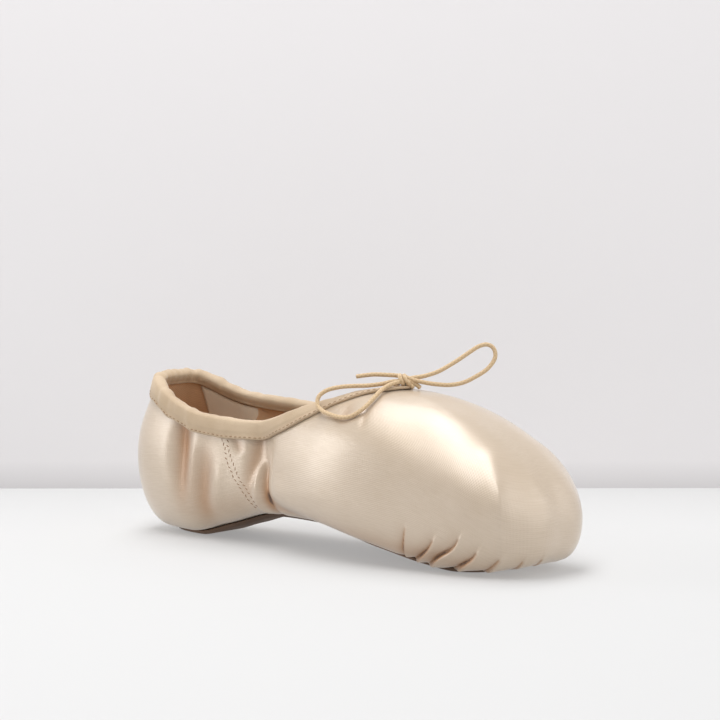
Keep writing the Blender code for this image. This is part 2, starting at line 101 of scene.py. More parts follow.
to_viewer = np.array([np.sin(VIEW_AZIMUTH), -np.cos(VIEW_AZIMUTH), 0.0])
back = to_viewer * np.cos(VIEW_ELEVATION) + np.array([0.0, 0.0, np.sin(VIEW_ELEVATION)])
right = np.array([np.cos(VIEW_AZIMUTH), np.sin(VIEW_AZIMUTH), 0.0])
up = np.cross(back, right)
pixel = VIEW_DISTANCE * SENSOR / VIEW_LENS / IMAGE_SIDE
aim = (
    LOOKED_AT
    + right * (IMAGE_SIDE / 2 - LOOKED_AT_PIXEL[0]) * pixel
    + up * (LOOKED_AT_PIXEL[1] - IMAGE_SIDE / 2) * pixel
)
camera_data = bpy.data.cameras.new("camera")
camera_data.lens = VIEW_LENS
camera_data.sensor_width = SENSOR
camera = bpy.data.objects.new("camera", camera_data)
camera.location = LOOKED_AT + back * VIEW_DISTANCE
camera.rotation_euler = Vector(camera.location - Vector(aim)).to_track_quat("Z", "Y").to_euler()
bpy.context.collection.objects.link(camera)
bpy.context.scene.camera = camera
bpy.context.scene.view_settings.view_transform = "Standard"


def flat_sheet(name, corners, material):
    """One four-cornered face."""
    mesh = bpy.data.meshes.new(name)
    mesh.from_pydata([tuple(corner) for corner in corners], [], [(0, 1, 2, 3)])
    mesh.materials.append(material)
    made = bpy.data.objects.new(name, mesh)
    bpy.context.collection.objects.link(made)


paper, _ = new_material(
    "lit_white_table",
    Base_Color=to_linear("A6A6A6"),
    Roughness=0.8,
    Emission_Color=to_linear("FFFFFF"),
    Emission_Strength=0.30,
)
# The wall is darker at its foot, a painted shadow where it meets the table. It shows from its front only, so a view
# from behind sees the shoe.
painted, wall_shader = new_material("pale_grey_wall", Roughness=0.9)
tree = painted.node_tree
wall_place = add_node(tree, "SeparateXYZ", {"Vector": add_node(tree, "TexCoord").outputs["Object"]})
foot = in_range(tree, wall_place.outputs["Z"], 0.0, WALL_SHADE_HEIGHT)
tree.links.new(between(tree, foot, "CDCBCC", "E0DEDF"), wall_shader.inputs["Base Color"])
clear = add_node(tree, "BsdfTransparent").outputs["BSDF"]
from_back = add_node(tree, "NewGeometry").outputs["Backfacing"]
one_sided = add_node(tree, "MixShader", {0: from_back, 1: wall_shader.outputs["BSDF"], 2: clear})
tree.links.new(one_sided.outputs["Shader"], tree.nodes["Material Output"].inputs["Surface"])
foot_left = -to_viewer * WALL_BEHIND - right * ROOM_REACH
foot_right = -to_viewer * WALL_BEHIND + right * ROOM_REACH
to_front, to_top = to_viewer * ROOM_REACH, up * WALL_HEIGHT
flat_sheet("floor", [foot_left, foot_left + to_front, foot_right + to_front, foot_right], paper)
flat_sheet("wall", [foot_left, foot_right, foot_right + to_top, foot_left + to_top], painted)


def soft_box(name, place, size, power, turn=None):
    """A rectangular light of a size and power, turned to the middle of the shoe, or straight down with a turn."""
    data = bpy.data.lights.new(name, "AREA")
    data.shape = "RECTANGLE"
    data.size, data.size_y = size
    data.energy = power
    light = bpy.data.objects.new(name, data)
    light.location = place
    facing = Vector(np.array(place) - LOOKED_AT).to_track_quat("Z", "Y").to_euler()
    light.rotation_euler = facing if turn is None else (0.0, 0.0, np.radians(turn))
    bpy.context.collection.objects.link(light)


soft_box("overhead_strip", (-0.05, -0.16, 1.05), (1.70, 0.48), 14.5, turn=-60.0)
soft_box("left_box", (-1.25, -0.66, 0.36), (1.1, 0.8), 10.5)
soft_box("right_box", (1.15, 0.30, 0.50), (1.8, 1.2), 7.5)
world = bpy.data.worlds.new("studio")
world.use_nodes = True
world.node_tree.nodes["Background"].inputs["Color"].default_value = to_linear("F4F2F2")
world.node_tree.nodes["Background"].inputs["Strength"].default_value = 0.42
bpy.context.scene.world = world

# The drawstring: a thin braided cotton cord that runs inside the casing and comes out at the throat in two ends.
# They are tied in a bow: the near loop's own end is cut short, and the far loop's own end lies over the knot.
CORD_DIAMETER = 0.0019
CORD_SIDES = 16
CORD_DOME = 0.35
BRAID_PITCH = 0.0019
THROAT = np.array([0.635 * 0.236 - 0.118, 0.0, 0.074])
CORD_STEP = 0.0007
# The two routes, in millimetres from the throat.
NEAR_ROUTE = (
    (4, 1.6, 0.6), (1.2, 0.4, 2.8), (-2.9, -2.9, 3.2), (-6.4, -7.4, 2.2), (-11, -11.6, 1.5),
    (-15.5, -15, 1.3), (-20.5, -18.6, 0.8), (-25, -22.2, -0.6), (-27.4, -25, -3.2), (-26.6, -27, -6.8),
    (-22.5, -28.4, -9), (-16.5, -29.9, -10.1), (-10.5, -30.8, -10.7), (-5.2, -30.5, -10.1), (-1.6, -27.8, -7.5),
    (-0.3, -23.3, -4.4), (-0.6, -17.9, -1.3), (-1.6, -12.8, 0.6), (-1.2, -8.2, 2.2), (0.4, -3.8, 3.2),
    (2.2, 0.2, 3.4), (4.4, 3, 1.8), (5.8, 4, 0.4),
)
FAR_ROUTE = (
    (-4, -1.6, 0.8), (-1.2, 0.6, 3.4), (2.5, 3.3, 4.6), (6.2, 6.6, 5.4), (10.5, 11.2, 7.4),
    (15.2, 16.8, 11.4), (19.6, 22, 15.8), (22.35, 25, 18.2), (25, 27.5, 18.8), (27.24, 29.09, 16.8),
    (27.95, 28.68, 12.8), (26.28, 25.64, 8.4), (23.2, 21.6, 5.2), (19.6, 17.2, 2.6), (15.6, 12.8, 1.6),
    (11.2, 8.2, 2), (7.2, 4.4, 2.9), (3.6, 1.7, 4), (0, 0, 5.2), (-3.6, -1.8, 5.7),
    (-7.4, -4.2, 5.9), (-11.2, -7, 6), (-14.4, -9.4, 5.6), (-17.2, -11.6, 5.1),
)


def run_along(line):
    """Distance from the first point of a line to each of its points, along it. In a grid, each column is a line."""
    return np.cumsum(np.linalg.norm(np.diff(line, axis=0, prepend=line[:1]), axis=-1), axis=0)


def sampled(at, run, values):
    """Rows of values at places along a run, each axis on its own straight pieces."""
    return np.stack([np.interp(at, run, values[:, axis]) for axis in range(values.shape[1])], axis=1)


def unit(vectors):
    """Vectors divided by their own lengths."""
    return vectors / np.linalg.norm(vectors, axis=-1)[..., None]


def through(points, spacing):
    """Evenly spaced points on the Catmull-Rom curve through a route: cubic pieces whose slope at a point is half the
    step between its neighbours."""
    points = np.asarray(points, float)
    ends = np.concatenate([[2 * points[0] - points[1]], points, [2 * points[-1] - points[-2]]])
    u = np.linspace(0, 1, 24, endpoint=False)[None, :, None]
    before, start, end, after = (ends[i : len(ends) - 3 + i, None] for i in range(4))
    curve = (
        start
        + u * (end - before) / 2
        + u**2 * (before - 2.5 * start + 2 * end - after / 2)
        + u**3 * (1.5 * (start - end) + (after - before) / 2)
    )
    curve = np.concatenate([curve.reshape(-1, 3), points[-1:]])
    run = run_along(curve)
    return sampled(np.linspace(0, run[-1], max(4, round(run[-1] / spacing) + 1)), run, curve)


def mesh_object(name, points, faces, material, uv=None, closed=True):
    """A smooth mesh object from arrays of points and four-cornered faces, turned outwards by the sign of its volume,
    with an optional UV for each face corner."""
    points = np.ascontiguousarray(points, np.float32).reshape(-1, 3)
    faces = np.ascontiguousarray(faces, np.int32).reshape(-1, 4)
    a, b, c, d = (points[faces[:, i]].astype(float) for i in range(4))
    volume = (np.cross(a, b) * c).sum() + (np.cross(a, c) * d).sum()
    if closed and volume < 0:
        faces = np.ascontiguousarray(faces[:, ::-1])
        uv = None if uv is None else uv[:, ::-1]
    mesh = bpy.data.meshes.new(name)
    mesh.vertices.add(len(points))
    mesh.vertices.foreach_set("co", points.ravel())
    mesh.loops.add(faces.size)
    mesh.loops.foreach_set("vertex_index", faces.ravel())
    mesh.polygons.add(len(faces))
    mesh.polygons.foreach_set("loop_start", np.arange(0, faces.size, 4, dtype=np.int32))
    mesh.polygons.foreach_set("use_smooth", np.ones(len(faces), bool))
    if uv is not None:
        layer = mesh.uv_layers.new(name="cloth")
        layer.data.foreach_set("uv", np.ascontiguousarray(uv, np.float32).ravel())
    mesh.update(calc_edges=True)
    mesh.validate()
    mesh.materials.append(material)
    made = bpy.data.objects.new(name, mesh)
    bpy.context.collection.objects.link(made)
    return made


def grid_faces(rows, columns, rows_close=False, columns_close=True):
    """Corner numbers of the faces between neighbouring points of a grid, which may close on itself both ways."""
    row = np.arange(rows if rows_close else rows - 1)[:, None]
    column = np.arange(columns if columns_close else columns - 1)[None, :]
    here, above = row * columns, (row + 1) % rows * columns
    beside = (column + 1) % columns
    return np.stack([here + column, here + beside, above + beside, above + column], axis=2).reshape(-1, 4)


def grid_uv(u, v):
    """UV of each face corner of a grid whose columns close: u and v are given for one column more than the grid has."""
    here, beside = slice(None, -1), slice(1, None)
    corners = ((here, here), (here, beside), (beside, beside), (beside, here))
    return np.stack([np.stack([u[c], v[c]], axis=2) for c in corners], axis=2).reshape(-1, 4, 2)


def arithmetic(tree, operation, *terms):
    """Result of one sum on values or sockets."""
    return add_node(tree, "Math", dict(enumerate(terms)), operation=operation).outputs[0]


def thread_wave(tree, place, spacing):
    """Sine wave over a place in metres, one wave to each spacing."""
    return arithmetic(tree, "SINE", arithmetic(tree, "MULTIPLY", place, 2 * np.pi / spacing))


def finish_shader(tree, shader, colour, normal_bump):
    """Feeds a material's shader with its colour and its bump."""
    tree.links.new(colour, shader.inputs["Base Color"])
    tree.links.new(normal_bump.outputs["Normal"], shader.inputs["Normal"])


def cotton_braid(name, colour, shade):
    """Mercerised cotton braid: two families of strands cross at a slant, soft and matte, darker in the gaps."""
    made, shader = new_material(name, Roughness=0.72, Sheen_Weight=0.25, Sheen_Roughness=0.4, IOR=1.47)
    tree = made.node_tree
    place = add_node(tree, "UVMap", uv_map="cloth").outputs["UV"]
    parts = add_node(tree, "SeparateXYZ", {"Vector": place})
    strands = []
    for turn in (1.0, -1.0):
        total = arithmetic(tree, "MULTIPLY_ADD", parts.outputs["Y"], turn, parts.outputs["X"])
        strands.append(thread_wave(tree, total, BRAID_PITCH))
    crossed = arithmetic(tree, "MAXIMUM", *strands)
    bump = add_node(tree, "Bump", {"Height": crossed, "Strength": 0.2, "Distance": 0.0002})
    finish_shader(tree, shader, between(tree, in_range(tree, crossed, -0.9, 1.0), shade, colour), bump)
    return made


braid = cotton_braid("cotton_drawstring_braid", "CDB38F", "BDA27D")


def rings_round(centres, side, lift, radius):
    """A cord's rings of points round centres: radius * (cos a * side + sin a * lift), with a from 0 to a full turn."""
    angle = np.linspace(0, 2 * np.pi, CORD_SIDES, endpoint=False)[None, :, None]
    ring = np.cos(angle) * side[:, None] + np.sin(angle) * lift[:, None]
    return centres[:, None] + ring * np.reshape(radius, (-1, 1, 1))


def cord_uv(run):
    """UV of a cord in metres: the run along it, and the way round it."""
    around = np.linspace(0, np.pi * CORD_DIAMETER, CORD_SIDES + 1)
    return grid_uv(*np.broadcast_arrays(run[:, None], around[None, :]))


def braided_cord(name, path):
    """A cord along a path: rings square to it, with their side also square to one direction that no cord here follows.
    The ends are drawn in to a small dome and closed on a point."""
    not_followed = np.array([-0.55, 0.62, 0.56])
    ahead = unit(np.gradient(path, axis=0))
    side = unit(np.cross(ahead, not_followed))
    lift = np.cross(ahead, side)
    radius = CORD_DIAMETER / 2
    dome = np.radians([90.0, 60.0, 30.0])
    start = path[0] - ahead[0] * radius * CORD_DOME * np.sin(dome)[:, None]
    end = path[-1] + ahead[-1] * radius * CORD_DOME * np.sin(dome)[::-1, None]
    centres = np.concatenate([start, path, end])
    widths = np.concatenate([np.cos(dome) + 1e-3, np.ones(len(path)), np.cos(dome)[::-1] + 1e-3]) * radius
    side, lift = (np.pad(axes, ((len(dome), len(dome)), (0, 0)), mode="edge") for axes in (side, lift))
    points = rings_round(centres, side, lift, widths)
    return mesh_object(name, points, grid_faces(len(centres), CORD_SIDES), braid, cord_uv(run_along(centres)))


near_path = through(np.array(NEAR_ROUTE) / 1000 + THROAT, CORD_STEP)
far_path = through(np.array(FAR_ROUTE) / 1000 + THROAT, CORD_STEP)
near_cord = braided_cord("bow_near_cord", near_path)
far_cord = braided_cord("bow_far_cord", far_path)

# The knot: the far end's last turn goes round the other strands twice, pulled tight and pressed on the casing.
# It is the same braid. Each turn is an oval ring that leans over, higher on its left.
KNOT_CENTRE = THROAT + np.array([0.0002, 0.0000, 0.0037])
KNOT_TURN = np.radians(40.0)
KNOT_FLATNESS = 0.80
KNOT_SWAY = 0.25
KNOT_STEPS = 56
# Columns: place along the knot, half-width, half-height, lean
KNOT_RINGS = ((-0.0011, 0.0030, 0.0026, 0.34), (0.0012, 0.0028, 0.0024, 0.52))
ring_angle = np.linspace(0, 2 * np.pi, KNOT_STEPS, endpoint=False)[:, None]
ahead = np.array([np.cos(KNOT_TURN), np.sin(KNOT_TURN), 0.0])
across = np.array([-np.sin(KNOT_TURN), np.cos(KNOT_TURN), 0.0])
knot_points, knot_faces, knot_uv = [], [], []
for shift, out, rise, lean in KNOT_RINGS:
    centre = (
        KNOT_CENTRE
        + across * out * np.cos(ring_angle)
        + np.array([0.0, 0.0, rise]) * np.sin(ring_angle) * KNOT_FLATNESS
        + ahead * (shift - lean * rise * np.sin(ring_angle) + KNOT_SWAY * lean * out * np.cos(ring_angle))
    )
    tangent = unit(np.roll(centre, -1, 0) - np.roll(centre, 1, 0))
    outer = unit(np.cross(tangent, ahead))
    knot_points.append(rings_round(centre, outer, np.cross(outer, tangent), CORD_DIAMETER / 2))
    base = len(knot_faces) * len(centre) * CORD_SIDES
    knot_faces.append(grid_faces(len(centre), CORD_SIDES, rows_close=True) + base)
    knot_uv.append(cord_uv(np.linspace(0, np.pi * (out + rise), len(centre) + 1)))
knot = mesh_object(
    "bow_knot", np.concatenate(knot_points), np.concatenate(knot_faces), braid, np.concatenate(knot_uv)
)
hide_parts("drawstring_left_loop")
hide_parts("drawstring_right_loop", "drawstring_left_end")
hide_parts("drawstring_knot")
for piece in (near_cord, far_cord, knot):
    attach(piece, "root")

# The upper: pale satin over canvas, stiffened with paste and paper into the box round the toes and left soft behind.
# It is cut as a vamp and two quarters, lasted over a straight last and pleated under the toe.
LENGTH = 0.236
BALL, WAIST, HEEL, PLATFORM = 0.040, 0.029, 0.027, 0.025
INSTEP_HEIGHT, QUARTER_HEIGHT, HEEL_HEIGHT = 0.074, 0.060, 0.072
ARCH_RISE, TOE_LIFT = 0.013, 0.0045
SOLE_THICKNESS = 0.0022
UPPER_WALL = 0.0018
COLUMNS = 640
TOE_CROWDING = 0.45
SEAT_ROWS, LOWER_ROWS, UPPER_ROWS = 8, 60, 46
LINING_STEP = 3
GLUE_GAP = 0.0003
NEAR_SAG, FAR_SAG = 0.0032, -0.0008
SOFTEST_ALONG, SOFT_REACH = 0.073, 0.032

# Half of the last, from the back of the heel to the middle of the toe: one row for each profile, with these columns.
# The outsole and the insole take a share of the tread, and the casing a share of its full width.
ALONG, OUT, GIRTH, TUCK, HOLE_ALONG, HOLE_OUT, COLLAR_ALONG, COLLAR_OUT, COLLAR_UP = range(9)
BELLY, RISE, CROWN, DROP, SOLE_SHARE, INSOLE_SHARE, CASING_SHARE = range(9, 16)
SIDEWAYS = [OUT, HOLE_OUT, COLLAR_OUT]
LAST = np.array(
    [
        (0.000 * LENGTH, 0.00 * HEEL, 0.50 * HEEL_HEIGHT, 0.58 * HEEL, 0.095 * LENGTH, 0.00 * HEEL,
         0.050 * LENGTH, 0.00 * HEEL, 1.00 * HEEL_HEIGHT, 0.55, 0.42, 0.50, 0.42, 0.70, 0.85, 1.00),
        (0.030 * LENGTH, 0.72 * HEEL, 0.49 * HEEL_HEIGHT, 0.60 * HEEL, 0.102 * LENGTH, 0.14 * HEEL,
         0.064 * LENGTH, 0.53 * HEEL, 0.985 * HEEL_HEIGHT, 0.55, 0.42, 0.50, 0.42, 0.70, 0.85, 1.00),
        (0.110 * LENGTH, 1.00 * HEEL, 0.46 * HEEL_HEIGHT, 0.54 * HEEL, 0.140 * LENGTH, 0.26 * HEEL,
         0.125 * LENGTH, 0.83 * HEEL, 0.890 * HEEL_HEIGHT, 0.55, 0.42, 0.50, 0.42, 0.70, 0.85, 1.00),
        (0.250 * LENGTH, 1.00 * WAIST, 0.50 * QUARTER_HEIGHT, 0.46 * WAIST, 0.250 * LENGTH, 0.28 * WAIST,
         0.250 * LENGTH, 0.88 * WAIST, 0.985 * QUARTER_HEIGHT, 0.55, 0.40, 0.50, 0.40, 0.55, 0.85, 1.00),
        (0.370 * LENGTH, 1.00 * WAIST, 0.50 * QUARTER_HEIGHT, 0.42 * WAIST, 0.370 * LENGTH, 0.30 * WAIST,
         0.375 * LENGTH, 0.83 * WAIST, 0.985 * QUARTER_HEIGHT, 0.55, 0.40, 0.50, 0.40, 0.45, 0.85, 0.95),
        (0.480 * LENGTH, 0.88 * BALL, 0.42 * INSTEP_HEIGHT, 0.34 * BALL, 0.485 * LENGTH, 0.34 * BALL,
         0.480 * LENGTH, 0.58 * BALL, 0.87 * INSTEP_HEIGHT, 0.55, 0.45, 0.60, 0.30, 0.50, 0.85, 0.90),
        (0.640 * LENGTH, 1.00 * BALL, 0.40 * INSTEP_HEIGHT, 0.30 * BALL, 0.640 * LENGTH, 0.50 * BALL,
         0.578 * LENGTH, 0.34 * BALL, 0.97 * INSTEP_HEIGHT, 0.60, 0.48, 0.70, 0.12, 0.80, 0.90, 0.46),
        (0.820 * LENGTH, 0.88 * BALL, 0.35 * INSTEP_HEIGHT, 0.26 * BALL, 0.790 * LENGTH, 0.42 * BALL,
         0.618 * LENGTH, 0.18 * BALL, 0.995 * INSTEP_HEIGHT, 0.60, 0.44, 0.66, 0.06, 0.62, 0.72, 0.40),
        (0.955 * LENGTH, 1.02 * PLATFORM, 0.31 * INSTEP_HEIGHT, 0.42 * PLATFORM, 0.828 * LENGTH, 0.30 * PLATFORM,
         0.630 * LENGTH, 0.07 * BALL, 1.00 * INSTEP_HEIGHT, 0.60, 0.44, 0.58, 0.04, 0.44, 0.58, 0.40),
        (0.996 * LENGTH, 0.55 * PLATFORM, 0.30 * INSTEP_HEIGHT, 0.46 * PLATFORM, 0.838 * LENGTH, 0.12 * PLATFORM,
         0.634 * LENGTH, 0.03 * BALL, 1.00 * INSTEP_HEIGHT, 0.60, 0.44, 0.54, 0.04, 0.38, 0.55, 0.40),
        (1.000 * LENGTH, 0.00 * PLATFORM, 0.30 * INSTEP_HEIGHT, 0.46 * PLATFORM, 0.840 * LENGTH, 0.00 * PLATFORM,
         0.635 * LENGTH, 0.00 * BALL, 1.00 * INSTEP_HEIGHT, 0.60, 0.44, 0.54, 0.04, 0.36, 0.55, 0.40),
    ]
)

# Height of the tread over the floor. Columns: along, height
TREAD = np.array(
    [
        (-0.05 * LENGTH, 0.30 * TOE_LIFT), (0.06 * LENGTH, 0.00 * ARCH_RISE), (0.16 * LENGTH, 0.00 * ARCH_RISE),
        (0.25 * LENGTH, 0.40 * ARCH_RISE), (0.38 * LENGTH, 0.98 * ARCH_RISE), (0.50 * LENGTH, 1.00 * ARCH_RISE),
        (0.66 * LENGTH, 0.55 * ARCH_RISE), (0.76 * LENGTH, 0.16 * ARCH_RISE), (0.82 * LENGTH, 0.00 * ARCH_RISE),
        (0.89 * LENGTH, 0.00 * ARCH_RISE), (1.00 * LENGTH, 1.00 * TOE_LIFT),
    ]
)

# The main hollows. Columns: along, lean forward as it goes down, half-width, depth, bottom and top over the underside
HOLLOWS = (
    (0.172 * LENGTH, 0.02, 0.026 * LENGTH, 0.085 * HEEL, 0.12 * HEEL_HEIGHT, 0.86 * HEEL_HEIGHT),
    (0.235 * LENGTH, -0.05, 0.026 * LENGTH, 0.055 * WAIST, 0.02 * HEEL_HEIGHT, 0.58 * HEEL_HEIGHT),
    (0.372 * LENGTH, 0.15, 0.028 * LENGTH, 0.130 * WAIST, 0.03 * HEEL_HEIGHT, 0.67 * HEEL_HEIGHT),
)


def steady_curve(table, at):
    """Cubic pieces through a table whose slopes are harmonic means, so the curve never swings past its rows."""
    places, values = table.T
    step = np.diff(places)
    slope = np.diff(values) / step
    before, after = slope[:-1], slope[1:]
    same_way = before * after > 0
    near, far = 2 * step[1:] + step[:-1], step[1:] + 2 * step[:-1]
    mixed = (near + far) / (near / np.where(same_way, before, 1) + far / np.where(same_way, after, 1))
    tangent = np.concatenate([[0], np.where(same_way, mixed, 0), [slope[-1]]])
    row = np.clip(np.searchsorted(places, at, side="right") - 1, 0, len(step) - 1)
    u = (at - places[row]) / step[row]
    return (
        values[row] * (1 + 2 * u) * (1 - u) ** 2
        + values[row + 1] * (3 - 2 * u) * u**2
        + step[row] * (tangent[row] * u * (1 - u) ** 2 + tangent[row + 1] * (u - 1) * u**2)
    )


def closed_curve(knots, values, around, at):
    """Periodic cubic spline through a ring of rows: its second slopes solve one linear system."""
    count = len(knots)
    step = np.diff(np.append(knots, knots[0] + around))
    slope = (np.roll(values, -1, axis=0) - values) / step[:, None]
    turn = np.arange(count)
    system = np.diag(2 * (step + np.roll(step, 1)))
    system[turn, (turn + 1) % count] += step
    system[turn, turn - 1] += np.roll(step, 1)
    bend = np.linalg.solve(system, 6 * (slope - np.roll(slope, 1, axis=0)))
    row = np.clip(np.searchsorted(knots, at, side="right") - 1, 0, count - 1)
    end = (row + 1) % count
    u = ((at - knots[row]) / step[row])[:, None]
    v = 1 - u
    arch = (v**3 - v) * bend[row] + (u**3 - u) * bend[end]
    return v * values[row] + u * values[end] + arch * step[row][:, None] ** 2 / 6


def last_profiles(count, crowding):
    """The last's columns at steps round the shoe, from the heel's back by its far side to the toe and home again.
    The steps are even but for crowding: the run is t + crowding / 2 pi * sin(2 pi t), closest together at the toe."""
    other = LAST[-2:0:-1].copy()
    other[:, SIDEWAYS] *= -1
    ring = np.concatenate([LAST, other])
    step = np.roll(ring, -1, axis=0) - ring
    lengths = (
        np.linalg.norm(step[:, [ALONG, OUT]], axis=1) + np.linalg.norm(step[:, [COLLAR_ALONG, COLLAR_OUT]], axis=1)
    ) / 2
    knots = np.concatenate([[0], np.cumsum(lengths)[:-1]])
    around = lengths.sum()
    fine = np.linspace(0, around, 20001)
    outline = closed_curve(knots, ring, around, fine)[:, [ALONG, OUT]]
    run = run_along(outline)
    t = np.arange(count) / count
    share = t + crowding / (2 * np.pi) * np.sin(2 * np.pi * t)
    return closed_curve(knots, ring, around, np.interp(share * run[-1], run, fine)).T, share * run[-1]


def underside(along):
    """Height of the upper's own underside: the tread, the outsole's thickness and the glue's gap."""
    return steady_curve(TREAD, along) + SOLE_THICKNESS + GLUE_GAP


def with_height(plan, height):
    """Plan points given a height each."""
    return np.column_stack([plan, np.broadcast_to(height, len(plan))])


def plan_lines(last):
    """Outline, tread line and edge of the opening underneath, in plan. The tread line is the outline moved inwards."""
    outline = last[[ALONG, OUT]].T
    step = unit(np.roll(outline, -1, axis=0) - np.roll(outline, 1, axis=0))
    inward = np.stack([step[:, 1], -step[:, 0]], axis=1)
    return outline, outline + inward * last[TUCK][:, None], last[[HOLE_ALONG, HOLE_OUT]].T


def arc_through(start, leave, reach, end, count):
    """Cubic Bezier from start to end, bent towards leave and reach, in count rows."""
    u = np.linspace(0, 1, count)[:, None, None]
    v = 1 - u
    return v**3 * start + 3 * v**2 * u * leave + 3 * v * u**2 * reach + u**3 * end


def normals_of(grid):
    """Outward unit normals: the slope along the rows crossed with the slope round the columns."""
    round_shoe = np.roll(grid, -1, axis=1) - np.roll(grid, 1, axis=1)
    return unit(np.cross(np.gradient(grid, axis=0), round_shoe))


def upper_surface(last):
    """Outer face of the upper, from the opening underneath up to the collar: a flat seat, a cubic from the tread line
    to the girth and a cubic from the girth to the rim, with the hollows pressed in as bells along the shoe."""
    outline, tread, hole = plan_lines(last)
    shares = np.linspace(0, 1, SEAT_ROWS + 1)[:-1, None, None]
    seat = hole + (tread - hole) * shares
    seat = np.concatenate([seat, underside(seat[:, :, 0])[:, :, None]], axis=2)
    foot = with_height(tread, underside(tread[:, 0]))
    girth = with_height(outline, last[GIRTH])
    collar = last[[COLLAR_ALONG, COLLAR_OUT, COLLAR_UP]].T
    outward = with_height(tread - outline, 0)
    lift = np.array([0.0, 0.0, 1.0])
    sink, climb = last[GIRTH] - foot[:, 2], last[COLLAR_UP] - last[GIRTH]
    leave = foot - outward * last[BELLY][:, None]
    lower = arc_through(foot, leave, girth - lift * (sink * last[BELLY])[:, None], girth, LOWER_ROWS + 1)
    lean = with_height(outline - collar[:, :2], 0)
    reach = collar + lean * last[CROWN][:, None] - lift * (climb * last[DROP])[:, None]
    upper = arc_through(girth, girth + lift * (climb * last[RISE])[:, None], reach, collar, UPPER_ROWS + 1)
    grid = np.concatenate([seat, lower, upper[1:]])
    height = grid[:, :, 2] - underside(grid[:, :, 0])
    pressed = np.zeros(height.shape)
    for along, lean_by, spread, deep, bottom, top in HOLLOWS:
        off = (grid[:, :, 0] - along - lean_by * (top - height)) / spread
        fade = np.clip((height - bottom) / (top - bottom), 0, 1)
        pressed += deep * np.exp(-off**2) * np.sin(np.pi * fade) ** 2
    return grid - normals_of(grid) * pressed[:, :, None]


# Creases of the near side, in millimetres from the heel's back, the middle and the floor. Columns: half-width, depth
# (a ridge is negative), how much brown shade is painted on the crease, the far side's share of it, how the depth
# starts and ends as shares of a half wave (0.5 is full depth), and the points of the line, top first.
CREASES = (
    (5.2, 1.0, 0.95, 0.8, 0.30, 0.95,
     ((43, -27, 56), (42.5, -27, 47), (43.2, -28, 38), (42.6, -27, 27), (42, -27, 15))),
    (2.8, 0.3, 0.1, 0.8, 0.20, 0.9, ((41, -27, 53), (42, -27, 47), (42, -27, 41))),
    (3.4, -0.6, 0.0, 0.8, 0.10, 1.0, ((50.5, -27, 50), (50.5, -28, 40), (49.5, -28, 24), (49, -26, 14))),
    (5.6, 1.0, 0.7, 0.8, 0.05, 0.9, ((58, -28, 44), (56.5, -28, 30), (55, -26, 18), (54, -23, 9))),
    (3.5, -0.6, 0.0, 0.8, 0.05, 1.0, ((66, -28, 36), (65, -28, 25), (62, -24, 13))),
    (2.6, 0.7, 0.4, 0.8, 0.10, 1.0, ((72.5, -27, 50), (76, -27, 46), (79, -27, 42))),
    (3.6, 0.9, 0.6, 0.8, 0.30, 1.0, ((88, -25, 52), (86.5, -27, 42), (84, -28, 32), (82.5, -28, 22))),
    (1.8, -0.9, 0.0, 0.8, 0.05, 0.8, ((93, -25, 44), (89.5, -27, 37), (88, -28, 28), (87.6, -26, 20), (88.5, -22, 15))),
    (2.6, 1.9, 1.0, 0.8, 0.05, 0.9, ((92.4, -26, 40), (93, -27, 33), (93.8, -28, 26), (95, -26, 20), (97, -20, 15))),
    (3.6, 0.8, 0.5, 0.8, 0.30, 1.0, ((96.5, -28, 23), (102, -28, 19.5), (111, -28, 17.5), (123, -28, 17))),
    (5.0, -0.6, 0.0, 0.8, 0.05, 0.8, ((96.5, -27, 38), (101, -29, 31), (109, -31, 26), (122, -33, 23))),
    (3.2, 0.7, 0.30, 0.8, 0.10, 1.0, ((137, -22, 67), (140, -27, 63), (143, -31, 59))),
    (1.6, 0.35, 0.15, 0.8, 0.20, 1.0, ((148, -23, 68), (151, -28, 63), (153, -32, 58))),
    # These two rows make no crease: their depth is nothing, and they only paint brown shade low on the side.
    (7.0, 0.0, 0.2, 1.0, 0.10, 0.9, ((48, -25, 12), (66, -26, 15), (84, -26, 20), (100, -26, 17))),
    (5.0, 0.0, 0.35, 1.0, 0.10, 0.9, ((115, -32, 17), (145, -36, 12), (180, -34, 8), (212, -26, 5))),
    (6.0, -1.5, 0.0, 0.8, 0.20, 0.8, ((212, -18, 48), (219, -23, 38), (222.5, -25, 26), (221.5, -25, 12))),
    (1.0, -0.2, 0.0, 0.8, 0.15, 0.9, ((219.5, -24, 40), (222.5, -26, 30), (224, -27, 20), (222.5, -25.5, 10))),
    (11.0, -1.7, 0.0, 0.2, 0.15, 0.8, ((136, -31, 57), (159, -33, 54), (181, -32, 46), (202, -31, 38), (217, -28, 30))),
    (15.0, 0.7, 0.0, 0.0, 0.25, 0.75, ((165, -4, 73), (190, -4, 68), (212, -4, 58))),
    (11.0, 0.5, 0.0, 0.0, 0.25, 0.75, ((234, -4, 40), (236, -4, 28), (236, -4, 14))),
)

